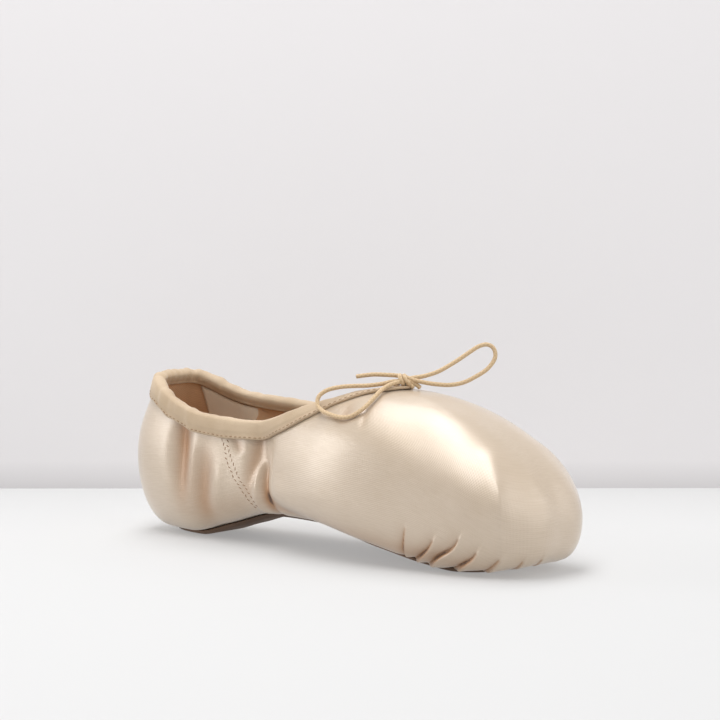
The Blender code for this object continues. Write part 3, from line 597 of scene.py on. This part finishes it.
# Pleats of the near side under the box, in millimetres: the cloth steps up past each line, and the far side has them
# too, mirrored and a little weaker. Columns: depth, the reach of the low side and of the raised side, and the points
# of the line, top first.
PLEATS = (
    (0.6, 2.5, 2.0, ((179.4, -36.5, 19), (178.6, -35.5, 14), (176.4, -32.5, 8.5), (173, -25, 5))),
    (1.2, 3.5, 3.0, ((192.8, -34.5, 14.4), (189, -33.5, 10.4), (182.5, -30.7, 6.6), (176, -24, 4.4))),
    (1.3, 3.8, 3.2, ((205.2, -33, 15.9), (202.5, -32.2, 12.3), (196, -31.8, 9.4), (187, -27, 5.2))),
    (1.2, 3.4, 3.0, ((212.4, -30, 11), (211, -28.9, 8.2), (204.5, -28.4, 5.8), (195, -22, 4))),
    (0.9, 3.0, 2.6, ((221, -25, 8.6), (217.4, -24.4, 5.4), (209, -20, 4.2), (201, -14, 3.4))),
    (0.5, 2.6, 2.4, ((228, -18, 7), (224, -16.5, 4.8), (214, -12, 3.8), (205, -8, 3.4))),
    (0.4, 2.6, 2.4, ((231.5, -9, 7.4), (227, -8, 5), (215, -5, 3.8), (207, -3, 3.4))),
)
FAR_SIDE_SHARE = 0.8
PLEAT_LIP, PLEAT_CUT = 0.0003, 0.0006
PLEAT_START, PLEAT_SPAN = 0.10, 0.6
# Painted shade: the narrow cut under each lip and the low side of each pleat are coloured brown, and all the painted
# shade is capped at the deepest share.
CUT_DEPTH, CUT_PAINTED_SHADE, LOW_SIDE_PAINTED_SHADE = 0.9, 1.2, 0.45
DEEPEST_PAINTED_SHADE = 1.2


def on_surface(points, route):
    """A route's line moved to the nearest of the surface's points and evened out, without repeats."""
    line = through(np.array(route) / 1000, 0.003)
    line = points[((points[None] - line[:, None]) ** 2).sum(axis=2).argmin(axis=1)]
    for _ in range(2):
        line[1:-1] = (line[:-2] + 2 * line[1:-1] + line[2:]) / 4
    return line[np.concatenate([[True], np.linalg.norm(np.diff(line, axis=0), axis=1) > 1e-6])]


def from_line(points, line):
    """Each point's offset from the nearest place on a bent line, the share of the line's run there, and its heading."""
    start, step = line[:-1], np.diff(line, axis=0)
    length = np.linalg.norm(step, axis=1)
    share = np.clip(((points[:, None] - start) * step).sum(axis=2) / length**2, 0, 1)
    off = points[:, None] - start - share[:, :, None] * step
    best = (off**2).sum(axis=2).argmin(axis=1)
    pick = np.arange(len(points))
    before = np.concatenate([[0], np.cumsum(length)[:-1]])
    run = (before[best] + share[pick, best] * length[best]) / length.sum()
    return off[pick, best], run, step[best] / length[best][:, None]


def creased(grid):
    """The grid with each crease and pleat worked in along its normals, and the brown shade painted on each point. A
    crease is a bell across its line. A pleat is tanh(d / lip) * exp(-(|d| / reach)^1.5) across it, with d the signed
    distance, so that one lip stands over the other, and a narrow bell cuts in under the lip."""
    normals = normals_of(grid)
    points, facing = grid.reshape(-1, 3), normals.reshape(-1, 3)
    raised, painted_shade = np.zeros(len(points)), np.zeros(len(points))
    for side in (1, -1):
        strength = 1.0 if side == 1 else FAR_SIDE_SHARE
        turned = np.array([1.0, side, 1.0])
        for width, depth, painted_shade_share, far_share, first, end, route in CREASES:
            off, run, _ = from_line(points, on_surface(points, np.array(route) * turned))
            fade = np.sin(np.pi * (first + (end - first) * run)).clip(0) ** 0.8
            bell = (1.0 if side == 1 else far_share) * fade * np.exp(-(off**2).sum(axis=1) / (width / 1000) ** 2)
            raised -= depth / 1000 * bell
            painted_shade += painted_shade_share * bell
        for depth, low_reach, high_reach, route in PLEATS:
            off, run, heading = from_line(points, on_surface(points, np.array(route) * turned))
            across = (off * np.cross(facing, heading)).sum(axis=1) * side
            reach = np.where(across > 0, high_reach, low_reach) / 1000
            away = np.sqrt((off**2).sum(axis=1))
            fade = strength * np.sin(np.pi * (PLEAT_START + PLEAT_SPAN * run)) ** 0.7
            spread = np.exp(-((away / reach) ** 1.5))
            cut = np.exp(-((away / PLEAT_CUT) ** 2))
            raised += depth / 1000 * fade * (np.tanh(across / PLEAT_LIP) * spread - CUT_DEPTH * cut)
            painted_shade += fade * (CUT_PAINTED_SHADE * cut + LOW_SIDE_PAINTED_SHADE * (across < 0) * spread)
    return grid + normals * raised.reshape(grid.shape[:2])[:, :, None], painted_shade.clip(0, DEEPEST_PAINTED_SHADE)


last, girth_run = last_profiles(COLUMNS, TOE_CROWDING)
soft_quarter = np.exp(-(((last[COLLAR_ALONG] - SOFTEST_ALONG) / SOFT_REACH) ** 4))
last[COLLAR_UP] -= soft_quarter * np.where(last[COLLAR_OUT] < 0, NEAR_SAG, FAR_SAG)
TO_MIDDLE = np.array([LENGTH / 2, 0.0, 0.0])
smooth_grid = upper_surface(last)
outer_grid, painted_shade = creased(smooth_grid)
outer_grid, smooth_grid = outer_grid - TO_MIDDLE, smooth_grid - TO_MIDDLE
lining_rows = np.unique(np.concatenate([np.arange(0, len(outer_grid), LINING_STEP), [len(outer_grid) - 1]]))
lining_grid = (outer_grid - normals_of(smooth_grid) * UPPER_WALL)[lining_rows]
shell = np.concatenate([outer_grid, lining_grid[::-1]])
painted_shade = np.concatenate([painted_shade, np.zeros(lining_grid.shape[0] * COLUMNS)])


def noise(tree, place, scale, detail, roughness=0.5):
    """Soft noise over a place."""
    inputs = {"Vector": place, "Scale": scale, "Detail": detail, "Roughness": roughness}
    return add_node(tree, "TexNoise", inputs).outputs["Fac"]


def slipper_satin(name, colour, shade, hollow, deep):
    """Duchesse satin: long floats lie side by side, so it is smooth and glossy along them, with uneven threads that
    show as short streaks. Its creases and pleat cuts are painted with brown shade and lose their gloss. The threads
    are 0.3 mm apart on the shoe and are drawn 0.8 mm apart, or the render would lose them."""
    made, shader = new_material(
        name, Metallic=0.14, IOR=1.5, Coat_Roughness=0.28, Sheen_Weight=0.1, Sheen_Roughness=0.35
    )
    tree = made.node_tree
    place = add_node(tree, "TexCoord").outputs["Object"]
    cloth = add_node(tree, "SeparateXYZ", {"Vector": add_node(tree, "UVMap", uv_map="cloth").outputs["UV"]})
    sway = noise(tree, place, 60.0, 2.0)
    ribs = []
    for axis, spacing, bend in (("X", 0.00095, 1.5), ("Y", 0.0008, 2.0)):
        straight = arithmetic(tree, "MULTIPLY", cloth.outputs[axis], 2 * np.pi / spacing)
        ribs.append(arithmetic(tree, "SINE", arithmetic(tree, "MULTIPLY_ADD", sway, bend, straight)))
    weave = arithmetic(tree, "MULTIPLY_ADD", ribs[0], 0.5, ribs[1])
    cloud = noise(tree, place, 22.0, 3.0, 0.55)
    crowded = {axis: arithmetic(tree, "MULTIPLY", cloth.outputs[axis], n) for axis, n in (("X", 170.0), ("Y", 1500.0))}
    along_thread = add_node(tree, "CombineXYZ", crowded).outputs["Vector"]
    mottled = arithmetic(tree, "MULTIPLY_ADD", noise(tree, along_thread, 1.0, 2.0), 0.8, cloud)
    # Painted shade: the creases' and pleats' share mixes the cloth towards the brown hollow colour, and past one
    # towards the dark deep colour.
    folded = add_node(tree, "Attribute", attribute_name="painted_fold_shade").outputs["Fac"]
    colours = between(tree, in_range(tree, mottled, 0.7, 1.1), shade, colour)
    shaded = between(tree, in_range(tree, folded, 0.0, 1.0, 0.0, 0.85), colours, hollow)
    darkened = between(tree, in_range(tree, folded, 1.0, DEEPEST_PAINTED_SHADE, 0.0, 0.9), shaded, deep)
    tree.links.new(in_range(tree, cloud, 0.0, 1.0, 0.28, 0.37), shader.inputs["Roughness"])
    tree.links.new(in_range(tree, folded, 0.0, 1.0, 0.85, 0.15), shader.inputs["Coat Weight"])
    fine = add_node(tree, "Bump", {"Height": weave, "Strength": 0.3, "Distance": 0.00007}).outputs["Normal"]
    ripple = noise(tree, place, 90.0, 2.0)
    bump = add_node(tree, "Bump", {"Height": ripple, "Normal": fine, "Strength": 0.15, "Distance": 0.0006})
    finish_shader(tree, shader, darkened, bump)
    return made


def plain_weave(name, colour, shade, spacing, roughness, cloth_map=None):
    """Plain cotton cloth: warp and weft of one thickness cross at right angles, dull, with darker gaps. They follow the
    cloth's own map where it has one."""
    made, shader = new_material(name, Roughness=roughness, IOR=1.47, Sheen_Weight=0.15)
    tree = made.node_tree
    place = add_node(tree, "TexCoord").outputs["Object"]
    flat = add_node(tree, "UVMap", uv_map=cloth_map).outputs["UV"] if cloth_map else place
    parts = add_node(tree, "SeparateXYZ", {"Vector": flat})
    slope = arithmetic(tree, "ADD", parts.outputs["Z"], parts.outputs["Y"])
    threads = [thread_wave(tree, axis, spacing) for axis in (parts.outputs["X"], slope)]
    weave = arithmetic(tree, "MULTIPLY", *threads)
    worn = arithmetic(tree, "MULTIPLY_ADD", weave, 0.12, noise(tree, place, 45.0, 4.0))
    bump = add_node(tree, "Bump", {"Height": weave, "Strength": 0.3, "Distance": 0.0002})
    finish_shader(tree, shader, between(tree, in_range(tree, worn, 0.3, 0.7), shade, colour), bump)
    return made


# The last two colours are painted shade: brown for the creases' hollows and a near-black brown for the deepest pleat
# cuts.
satin = slipper_satin("duchesse_satin", "CDBCA8", "C5B39D", "9E6C3D", "452A17")
drill = plain_weave("cotton_drill_lining", "CFA984", "B58D68", 0.0009, 0.88, "cloth")
climbed = run_along(smooth_grid)
climbed = np.concatenate([climbed, climbed[lining_rows][::-1], climbed[:1]])
climbed = np.concatenate([climbed, climbed[:, :1]], axis=1)
tread_line = smooth_grid[SEAT_ROWS]
girth = np.broadcast_to(run_along(np.concatenate([tread_line, tread_line[:1]])), climbed.shape)
upper = mesh_object(
    "satin_upper", shell, grid_faces(len(shell), COLUMNS, rows_close=True), satin, grid_uv(girth, climbed)
)
# The painted shade of the creases and pleats goes onto the upper as a point attribute.
upper.data.attributes.new("painted_fold_shade", "FLOAT", "POINT").data.foreach_set("value", painted_shade.astype(np.float32))
upper.data.materials.append(drill)
face_row = np.repeat(np.arange(len(shell)), COLUMNS)
upper.data.polygons.foreach_set("material_index", (face_row >= len(outer_grid)).astype(np.int32))
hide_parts("upper")
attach(upper, "root")

# The collar casing: a strip of the same satin with its dull side out, folded over the edge of the upper and stitched
# below, with the drawstring inside. The pull of the string gathers it, most of all round the heel.
CASING_WALL = 0.0009
CASING_ROLL = 0.0016
CASING_OUTER_DROP = 0.0074
CASING_INNER_DROP = 0.0040
LOOSE_CLEARANCE = 0.0006
GATHERED_ALONG, GATHERED_REACH = 0.012, 0.040
GATHER_DEPTH, GATHER_PITCHES = 0.00028, (0.0113, 0.0074, 0.0047)
SLACK_DEPTH, SLACK_PITCHES = 0.00022, (0.044, 0.027)
EDGE_WANDER, WANDER_PITCHES = 0.05, (0.019, 0.0092)
below_rim = run_along(smooth_grid[::-1])[::-1]
smooth_normals = normals_of(smooth_grid)


def wall_point(drop):
    """Points of the upper's outer face at a drop below its rim, one a column, with normals: the two rows that the drop
    falls between are mixed by its share."""
    drop = np.broadcast_to(drop, COLUMNS)
    row = np.clip((below_rim > drop).sum(axis=0) - 1, 0, len(smooth_grid) - 2)
    column = np.arange(COLUMNS)
    high, low = below_rim[row, column], below_rim[row + 1, column]
    share = ((high - drop) / (high - low))[:, None]
    place = smooth_grid[row, column] * (1 - share) + smooth_grid[row + 1, column] * share
    facing = smooth_normals[row, column] * (1 - share) + smooth_normals[row + 1, column] * share
    return place, unit(facing)


def off_wall(drop, out):
    """Points at a drop below the rim and a distance out from the upper's outer face."""
    place, facing = wall_point(drop)
    return place + facing * np.broadcast_to(out, COLUMNS)[:, None]


def waves(run, seed, pitches):
    """A sum of sine waves along a run, one for each pitch, with phases that differ by the seed."""
    return sum(np.sin(2 * np.pi * run / pitch + seed * (i + 1) * 1.7) / (i + 1) for i, pitch in enumerate(pitches))


width = last[CASING_SHARE]
rim, rim_out = wall_point(0.0)
lower, _ = wall_point(CASING_OUTER_DROP / 3)
upward = unit(rim - lower)
middle = rim - rim_out * UPPER_WALL / 2
heel_share = 0.2 + 0.8 * np.exp(-(((last[COLLAR_ALONG] - GATHERED_ALONG) / GATHERED_REACH) ** 2))
gather = waves(girth_run, 1.0, GATHER_PITCHES) * GATHER_DEPTH * heel_share
slack = waves(girth_run, 2.0, SLACK_PITCHES) * SLACK_DEPTH
soft = CASING_ROLL * (0.2 + 0.8 * width) + (gather + slack) * width
outer_drop = CASING_OUTER_DROP * width * (1 + EDGE_WANDER * waves(girth_run, 3.0, WANDER_PITCHES) * heel_share)
inner_drop = CASING_INNER_DROP * width
half_wall = UPPER_WALL / 2 + LOOSE_CLEARANCE
inside = UPPER_WALL + LOOSE_CLEARANCE
# The section runs up the outside from the hem, over the roll and down the inside, and back between casing and upper.
# Each pair is a share of the drop, and a thickness as a share of the casing's wall or of the full roll.
section = [
    off_wall(share * outer_drop, LOOSE_CLEARANCE + walls * CASING_WALL + 0.6 * gather * (share < 0.9))
    for share, walls in ((1.0, 0.35), (0.97, 1.0), (0.86, 1.1), (0.78, 0.8))
]
section += [
    off_wall(share * outer_drop, LOOSE_CLEARANCE + fullness * soft)
    for share, fullness in ((0.62, 0.85), (0.46, 0.95), (0.30, 0.98), (0.15, 0.99))
]
section += [
    middle
    + rim_out * (half_wall + soft)[:, None] * np.cos(angle)
    + upward * (LOOSE_CLEARANCE + soft)[:, None] * np.sin(angle)
    for angle in np.radians(np.linspace(10, 170, 11))
]
section += [
    off_wall(share * inner_drop, -(inside + fullness * soft))
    for share, fullness in ((0.18, 0.98), (0.38, 0.9), (0.62, 0.65), (0.82, 0.5))
]
section += [off_wall(share * inner_drop, -(inside + walls * CASING_WALL)) for share, walls in ((0.98, 1.0), (1.0, 0.3))]
section += [off_wall(share * inner_drop, -(UPPER_WALL + GLUE_GAP)) for share in (1.0, 0.4)]
section += [middle + rim_out * out + upward * GLUE_GAP for out in (-half_wall, half_wall)]
section += [off_wall(share * outer_drop, GLUE_GAP) for share in (0.4, 1.0)]
binding = plain_weave("dull_satin_binding", "C8B296", "B79F81", 0.0007, 0.6)
casing = mesh_object("collar_binding", section, grid_faces(len(section), COLUMNS, rows_close=True), binding)
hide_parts("collar_casing")
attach(casing, "root")

# The stitching: brown waxed thread, drawn down into the cloth. One row holds the casing, and two rows hold each side
# seam, where the quarter laps over the vamp's wing.
STITCH_LENGTH = 0.0017
STITCH_PITCH = 0.0026
STITCH_THICKNESS = 0.00038
STITCH_SINK = 0.00002
STITCH_RINGS, STITCH_SIDES = 7, 6
HEADING_STEP = 0.0004
HEM_ROW = 0.87
SEAM_STEP = 0.0006
# The side seams in the side view, in millimetres along and up, where the upper is over SEAM_OUT from the middle.
SEAM_OUT = 0.012
SEAM_BACK = ((65.4, 50.3), (67.9, 45.0), (71.0, 38.5), (74.8, 32.2), (79.3, 25.7), (85.0, 17.4))
SEAM_FRONT = ((68.4, 50.5), (70.4, 45.2), (73.5, 38.8), (77.6, 32.4), (82.4, 26.0), (87.4, 18.0))
outer_normals = normals_of(outer_grid)
flat_outer, flat_normals = outer_grid.reshape(-1, 3), outer_normals.reshape(-1, 3)


def stitch_row(line, facing, sunk):
    """Centres, headings and normals of stitches at an even pitch along a line of points with normals."""
    run = run_along(line)
    at = np.arange(STITCH_PITCH / 2, run[-1], STITCH_PITCH)
    place = sampled(at, run, line)
    ahead = sampled(at + HEADING_STEP, run, line) - place
    normal = sampled(at, run, facing)
    return place - normal * sunk, unit(ahead), unit(normal)


def stitches(rows):
    """Points and faces of all stitches: each is an ellipsoid grid of rings, placed at its centre along its heading."""
    centre, ahead, normal = (np.concatenate(parts) for parts in zip(*rows))
    side = np.cross(normal, ahead)
    u = np.linspace(-1, 1, STITCH_RINGS)[:, None]
    swell = np.sqrt(np.clip(1 - u**4, 0.01, 1)) * STITCH_THICKNESS / 2
    angle = np.linspace(0, 2 * np.pi, STITCH_SIDES, endpoint=False)
    shape = np.broadcast_arrays(u * STITCH_LENGTH / 2, swell * np.cos(angle), swell * np.sin(angle))
    basis = np.stack([ahead, side, normal], axis=1)
    points = centre[:, None] + np.stack(shape, axis=2).reshape(-1, 3) @ basis
    base = np.arange(len(centre)) * STITCH_RINGS * STITCH_SIDES
    return points, (grid_faces(STITCH_RINGS, STITCH_SIDES) + base[:, None, None]).reshape(-1, 4)


rows = []
for side in (1.0, -1.0):
    for seam in (SEAM_BACK, SEAM_FRONT):
        along, height = through(np.insert(np.array(seam) / 1000, 1, 0, axis=1) - TO_MIDDLE, SEAM_STEP)[:, ::2].T
        apart = (flat_outer[:, 0] - along[:, None]) ** 2 + (flat_outer[:, 2] - height[:, None]) ** 2
        nearest = (apart + (flat_outer[:, 1] * side > -SEAM_OUT)).argmin(axis=1)
        rows.append(stitch_row(flat_outer[nearest], flat_normals[nearest], STITCH_SINK))
edge, edge_out = wall_point(HEM_ROW * outer_drop)
edge = edge + edge_out * (LOOSE_CLEARANCE + 1.05 * CASING_WALL)
rows.append(stitch_row(np.concatenate([edge, edge[:1]]), np.concatenate([edge_out, edge_out[:1]]), 0.0))
thread, _ = new_material("waxed_brown_thread", Base_Color=to_linear("8E6C4E"), Roughness=0.6, IOR=1.5)
points, faces = stitches(rows)
stitching = mesh_object("stitching", points, faces, thread)
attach(stitching, "root")

# The outsole: one thickness of buffed leather, narrow, glued on and sewn round, with its cut edge rounded and dark.
# It bends with the arch, and stands at the heel and under the ball.
SOLE_COLUMNS = 360
SOLE_BEVEL = 0.0030
SPINE_BACK, SPINE_FRONT = 0.012, 0.016
# Columns: how far in from the edge (1 is the bevel, 2 the middle line), and the share of the thickness
SKIVED_EDGE = ((2.0, 0.0), (1.5, 0.0), (1.0, 0.0), (0.72, 0.10), (0.45, 0.26), (0.2, 0.46), (0.04, 0.68), (0.0, 0.80),
               (0.06, 0.92), (0.25, 0.99), (1.0, 1.0), (1.5, 1.0), (2.0, 1.0))


def slab(share_column, lower_height, thickness, bevel, rails):
    """A layer that follows the underside, as a grid of rings: from the middle line below out to the shaped edge and
    back on top. Each ring is the outline drawn in towards the middle line of the foot by its share."""
    profiles, _ = last_profiles(SOLE_COLUMNS, 0.0)
    _, tread, hole = plan_lines(profiles)
    outline = hole + (tread - hole) * profiles[share_column][:, None]
    spine_along = np.clip(outline[:, 0], outline[:, 0].min() + SPINE_BACK, outline[:, 0].max() - SPINE_FRONT)
    spine = np.stack([spine_along, np.zeros(SOLE_COLUMNS)], axis=1)
    reach = np.linalg.norm(outline - spine, axis=1)
    rings = []
    for inset, rise in rails:
        share = 1 - (inset * bevel + (inset > 1) * (inset - 1) * (reach - bevel)) / reach
        plan = spine + (outline - spine) * np.clip(share, 0, 1)[:, None]
        rings.append(with_height(plan, lower_height(plan[:, 0]) + rise * thickness))
    return np.stack(rings) - TO_MIDDLE


sole_rings = slab(SOLE_SHARE, lambda along: steady_curve(TREAD, along), SOLE_THICKNESS, SOLE_BEVEL, SKIVED_EDGE)
sole_leather, shader = new_material("buffed_sole_leather", Roughness=0.7, IOR=1.5, Specular_IOR_Level=0.35)
tree = sole_leather.node_tree
place = add_node(tree, "TexCoord").outputs["Object"]
grain = add_node(tree, "TexVoronoi", {"Vector": place, "Scale": 900.0}).outputs["Distance"]
stain = in_range(tree, noise(tree, place, 30.0, 5.0), 0.35, 0.65)
bump = add_node(tree, "Bump", {"Height": grain, "Strength": 0.3, "Distance": 0.0002})
finish_shader(tree, shader, between(tree, stain, "5A4637", "7C6350"), bump)
outsole = mesh_object("leather_outsole", sole_rings, grid_faces(len(sole_rings), SOLE_COLUMNS), sole_leather)
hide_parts("outsole")
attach(outsole, "root")

# The insole: board under a glued cotton sock, lying on the turned-in edge of the upper.
INSOLE_THICKNESS = 0.0018
INSOLE_BEVEL = 0.0007
ROUNDED_EDGE = ((2.0, 0.0), (1.5, 0.0), (1.0, 0.0), (0.5, 0.04), (0.15, 0.16), (0.0, 0.35), (0.0, 0.65), (0.15, 0.84),
                (0.5, 0.96), (1.0, 1.0), (1.5, 1.0), (2.0, 1.0))


def on_turned_edge(along):
    """Height of the insole's lower face: the upper's turned-in edge and a little air lie below it."""
    return underside(along) + UPPER_WALL + LOOSE_CLEARANCE


insole_rings = slab(INSOLE_SHARE, on_turned_edge, INSOLE_THICKNESS, INSOLE_BEVEL, ROUNDED_EDGE)
sock = plain_weave("cotton_sock", "CDAE8B", "B79470", 0.0012, 0.9)
insole = mesh_object("cotton_insole", insole_rings, grid_faces(len(insole_rings), SOLE_COLUMNS), sock)
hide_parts("insole")
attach(insole, "root")

# The label patch: bare bleached cotton, its edges turned under and sewn to the lining of the far quarter.
LABEL_START, LABEL_LENGTH, LABEL_HEIGHT, LABEL_THICKNESS = 0.016, 0.028, 0.018, 0.0005
LABEL_STEPS = 33
LABEL_EDGE = 0.35
label_along = LABEL_START + np.linspace(0, LABEL_LENGTH, LABEL_STEPS) - TO_MIDDLE[0]
patch = []
for drop in CASING_INNER_DROP + LOOSE_CLEARANCE + np.linspace(0, LABEL_HEIGHT, LABEL_STEPS):
    lining = off_wall(drop, -inside)[1 : COLUMNS // 2]
    patch.append(sampled(label_along, lining[:, 0], lining))
patch = np.stack(patch)
crown = 1 - np.linspace(-1, 1, LABEL_STEPS) ** 8
thickness = LABEL_THICKNESS * (LABEL_EDGE + (1 - LABEL_EDGE) * np.outer(crown, crown))
front = patch - np.array([0.0, 1.0, 0.0]) * thickness[:, :, None]
label_points = np.stack([patch, front])
label_faces = grid_faces(LABEL_STEPS, LABEL_STEPS, columns_close=False)
number = np.arange(LABEL_STEPS**2).reshape(LABEL_STEPS, LABEL_STEPS)
border = np.concatenate([number[0], number[1:, -1], number[-1, -2::-1], number[-2:0:-1, 0]])
following = np.roll(border, -1)
rim_faces = np.stack([border, following, following + number.size, border + number.size], axis=1)
label_faces = np.concatenate([label_faces[:, ::-1], label_faces + number.size, rim_faces])
bleached = plain_weave("bleached_cotton_label", "DCCDB8", "CDBBA2", 0.0006, 0.9)
label = mesh_object("bare_label", label_points, label_faces, bleached)
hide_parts("inner_label")
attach(label, "root")
